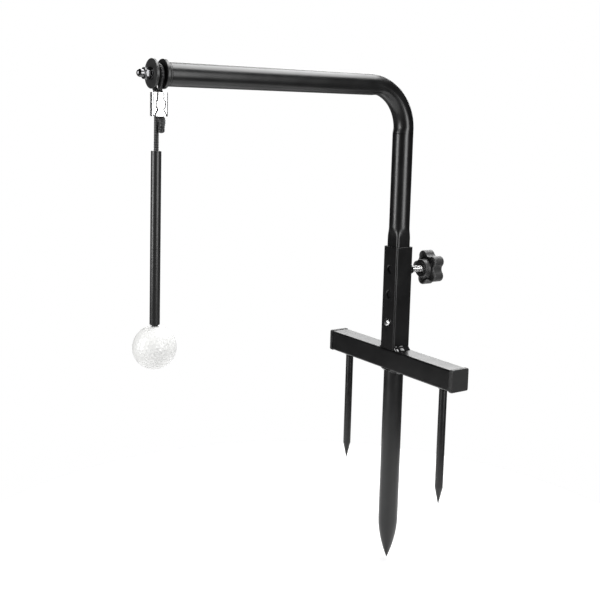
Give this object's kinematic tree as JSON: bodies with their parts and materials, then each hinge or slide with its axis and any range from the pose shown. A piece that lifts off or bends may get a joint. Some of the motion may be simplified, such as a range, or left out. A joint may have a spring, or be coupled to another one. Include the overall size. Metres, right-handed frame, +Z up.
{
  "type": "tethered golf ball swing trainer",
  "caption": "Ground-stake swing trainer: spiked crossbar and post, height-adjustable bent arm, and a ball on a sleeved cord hung from a spinning spool.",
  "frame": {"origin": "on the post's axis, at the underside of the crossbar, which is the ground line when the spikes are pushed in", "axes": "+Z up along the post; +X along the crossbar; the arm points along -Y and the clamp knob is on the +Y side"},
  "size_m": [0.2174, 0.3802, 0.5649],
  "materials": {
    "black_powder_coat": "satin black powder coat",
    "black_plastic": "moulded black plastic",
    "sleeve_plastic": "extruded satin black tube",
    "black_cord": "braided black cord",
    "zinc_plate": "bright zinc plated steel",
    "clip_steel": "pressed bright zinc plated sheet",
    "spring_steel": "plain spring steel strip",
    "ferrule_brass": "crimped brass",
    "ball_cover": "dimpled white ball cover"
  },
  "bodies": {
    "ground_stake": {"crossbar": "black_powder_coat", "end_cap_left": "black_plastic", "end_cap_right": "black_plastic", "post": "black_powder_coat", "weld_nut": "black_powder_coat", "centre_spike": "black_powder_coat", "side_spike_left": "black_powder_coat", "side_spike_right": "black_powder_coat", "spike_weld_left": "black_powder_coat", "spike_weld_right": "black_powder_coat", "centre_weld_left": "black_powder_coat", "centre_weld_right": "black_powder_coat", "post_weld_left": "black_powder_coat", "post_weld_right": "black_powder_coat"},
    "arm": {"arm_tube": "black_powder_coat", "snap_spring": "spring_steel", "arm_end_plug": "black_plastic", "axle_bolt": "zinc_plate", "rear_washer": "zinc_plate", "front_washer": "zinc_plate", "hex_nut": "zinc_plate", "cap_nut": "zinc_plate"},
    "snap_button": {"snap_button": "zinc_plate"},
    "spool": {"rear_flange": "black_plastic", "spool_drum": "black_plastic", "front_flange": "black_plastic", "cord_loop": "black_cord", "clip_near": "clip_steel", "clip_far": "clip_steel"},
    "ball_tether": {"cord_drop": "black_cord", "cord_sleeve": "sleeve_plastic", "golf_ball": "ball_cover", "cord_ferrule": "ferrule_brass"},
    "clamp_stud": {"clamp_stud": "zinc_plate"},
    "star_knob": {"star_knob": "black_plastic"}
  },
  "joints": [
    {"name": "height_slide", "type": "slide", "parent": "ground_stake", "child": "arm", "axis": [0, 0, 1], "range_m": [0, 0.0615], "deforming": ["snap_button"]},
    {"name": "button_press", "type": "slide", "parent": "arm", "child": "snap_button", "axis": [0, 1, 0], "range_m": [0, 0.0042], "stiffness_N_per_m": 1200, "deforming": ["snap_spring"]},
    {"name": "spool_spin", "type": "hinge", "parent": "arm", "child": "spool", "pos_m": [0, -0.3027, 0.3218], "axis": [0, 1, 0], "continuous": true},
    {"name": "tether_swing", "type": "hinge", "parent": "spool", "child": "ball_tether", "pos_m": [0, -0.3034, 0.26], "axis": [1, 0, 0], "range_deg": [-75, 75]},
    {"name": "screw_feed", "type": "slide", "parent": "ground_stake", "child": "clamp_stud", "axis": [0, 1, 0], "range_m": [0, 0.005]},
    {"name": "knob_turn", "type": "hinge", "parent": "clamp_stud", "child": "star_knob", "pos_m": [0, 0.048, 0.114], "axis": [0, 1, 0], "range_deg": [0, 1440]}
  ],
  "couplings": [
    {"joint": "screw_feed", "follows": "knob_turn", "m_per_rad": 0.00019894}
  ]
}
